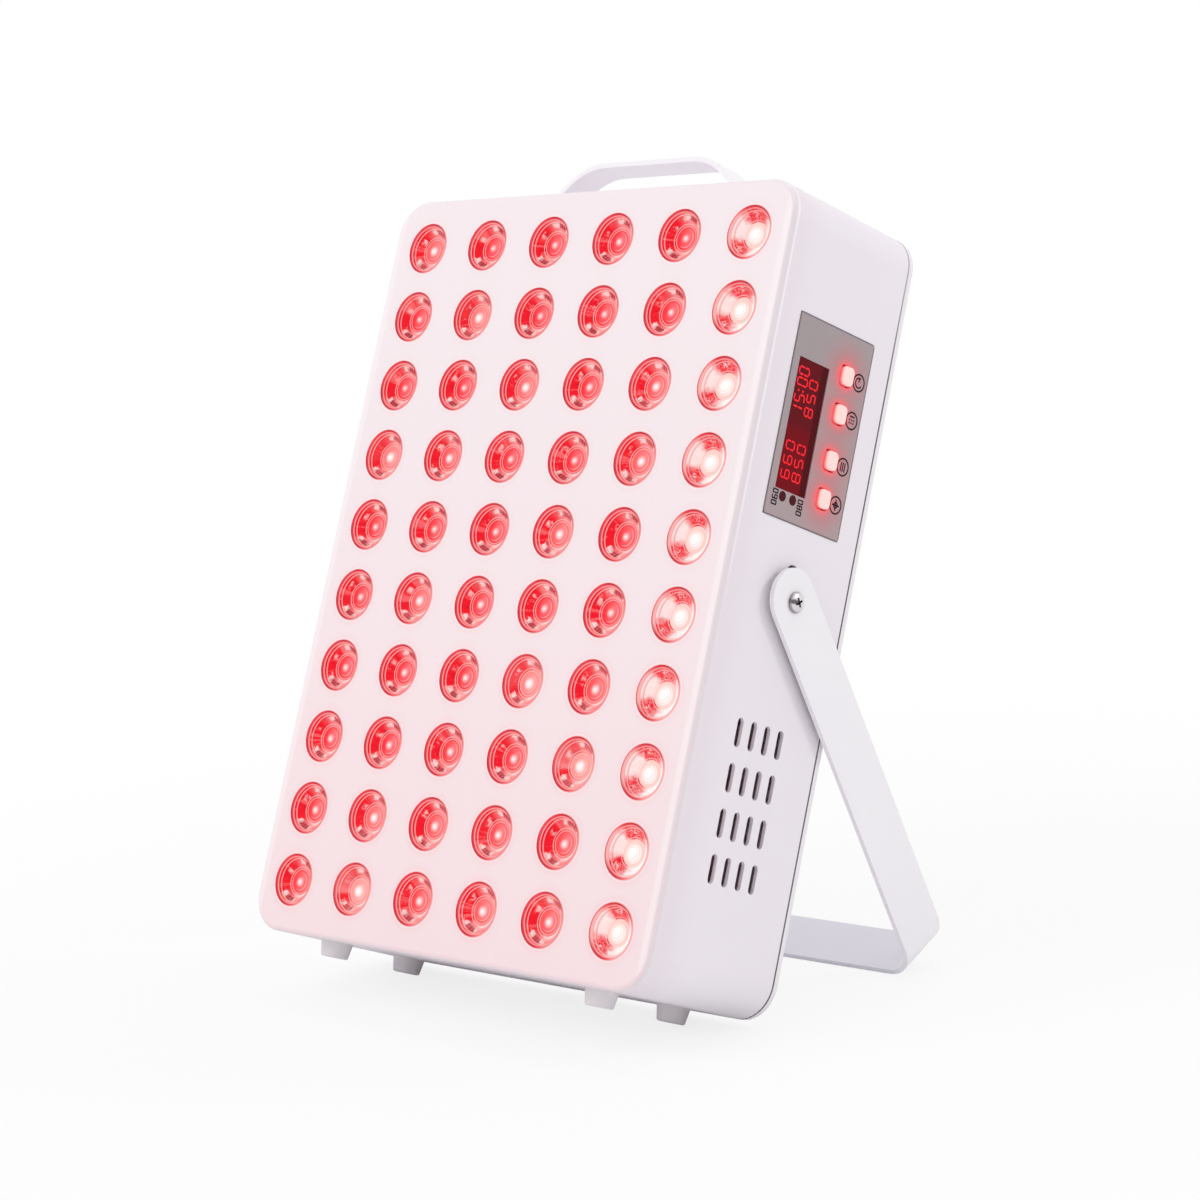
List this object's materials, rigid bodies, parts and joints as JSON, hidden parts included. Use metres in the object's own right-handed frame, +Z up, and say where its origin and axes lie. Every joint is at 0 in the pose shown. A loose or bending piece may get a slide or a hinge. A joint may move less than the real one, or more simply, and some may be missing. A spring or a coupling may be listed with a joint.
{
  "type": "light therapy panel",
  "caption": "Desktop light therapy panel: a white tray with a grid of red lens lamps, side display and buttons, top handle, rear fan, and a swing stand that props it up.",
  "frame": {"origin": "on the floor under the middle of the standing panel and its stand", "axes": "+Z up, +X to the right seen from the lamp side, +Y to the back; the lamp face looks to -Y and up"},
  "size_m": [0.2286, 0.1842, 0.3207],
  "materials": {
    "shell_paint": "white powder coat, satin",
    "lens_plastic": "clear optical plastic lit red from behind",
    "board_white": "white solder mask on a metal core board",
    "sink_aluminium": "plain extruded",
    "overlay_grey": "matt grey film",
    "window_red": "dark red tinted pane",
    "button_grey": "matt moulded",
    "black_plastic": "matt moulded",
    "board_green": "solder mask",
    "pillar_brass": "nickel free, turned",
    "foot_rubber": "white matt rubber",
    "screw_chrome": "bright plated",
    "spacer_nylon": "white nylon",
    "supply_case": "folded sheet case"
  },
  "bodies": {
    "panel": {"front_housing": "shell_paint", "rear_cover": "shell_paint", "lenses": "lens_plastic", "led_board": "board_white", "board_standoffs": "pillar_brass", "heat_sink": "sink_aluminium", "control_overlay": "overlay_grey", "display_window": "window_red", "control_case": "black_plastic", "control_board": "board_green", "tact_switches": "black_plastic", "handle": "shell_paint", "feet": "foot_rubber", "pivot_screws": "screw_chrome", "pivot_spacers": "spacer_nylon", "fan_frame": "black_plastic", "power_supply": "supply_case", "power_inlet": "black_plastic", "switch_housing": "black_plastic"},
    "stand": {"stand_bracket": "shell_paint"},
    "fan": {"fan_rotor": "black_plastic"},
    "rocker": {"switch_rocker": "black_plastic"},
    "button_1": {"button_1": "button_grey"},
    "button_2": {"button_2": "button_grey"},
    "button_3": {"button_3": "button_grey"},
    "button_4": {"button_4": "button_grey"}
  },
  "joints": [
    {"name": "stand_swing", "type": "hinge", "parent": "panel", "child": "stand", "pos_m": [0, -0.00002, 0.15632], "axis": [1, 0, 0], "range_deg": [-46, 118]},
    {"name": "fan_spin", "type": "hinge", "parent": "panel", "child": "fan", "pos_m": [0, 0.04352, 0.20529], "axis": [0, 0.9221, -0.3869], "continuous": true},
    {"name": "rocker_tip", "type": "hinge", "parent": "panel", "child": "rocker", "pos_m": [0.014, -0.01257, 0.03362], "axis": [1, 0, 0], "range_deg": [-16, 0]},
    {"name": "button_1_press", "type": "slide", "parent": "panel", "child": "button_1", "axis": [-1, 0, 0], "range_m": [0, 0.0005], "stiffness_N_per_m": 2000, "springref_m": -0.0003},
    {"name": "button_2_press", "type": "slide", "parent": "panel", "child": "button_2", "axis": [-1, 0, 0], "range_m": [0, 0.0005], "stiffness_N_per_m": 2000, "springref_m": -0.0003},
    {"name": "button_3_press", "type": "slide", "parent": "panel", "child": "button_3", "axis": [-1, 0, 0], "range_m": [0, 0.0005], "stiffness_N_per_m": 2000, "springref_m": -0.0003},
    {"name": "button_4_press", "type": "slide", "parent": "panel", "child": "button_4", "axis": [-1, 0, 0], "range_m": [0, 0.0005], "stiffness_N_per_m": 2000, "springref_m": -0.0003}
  ]
}
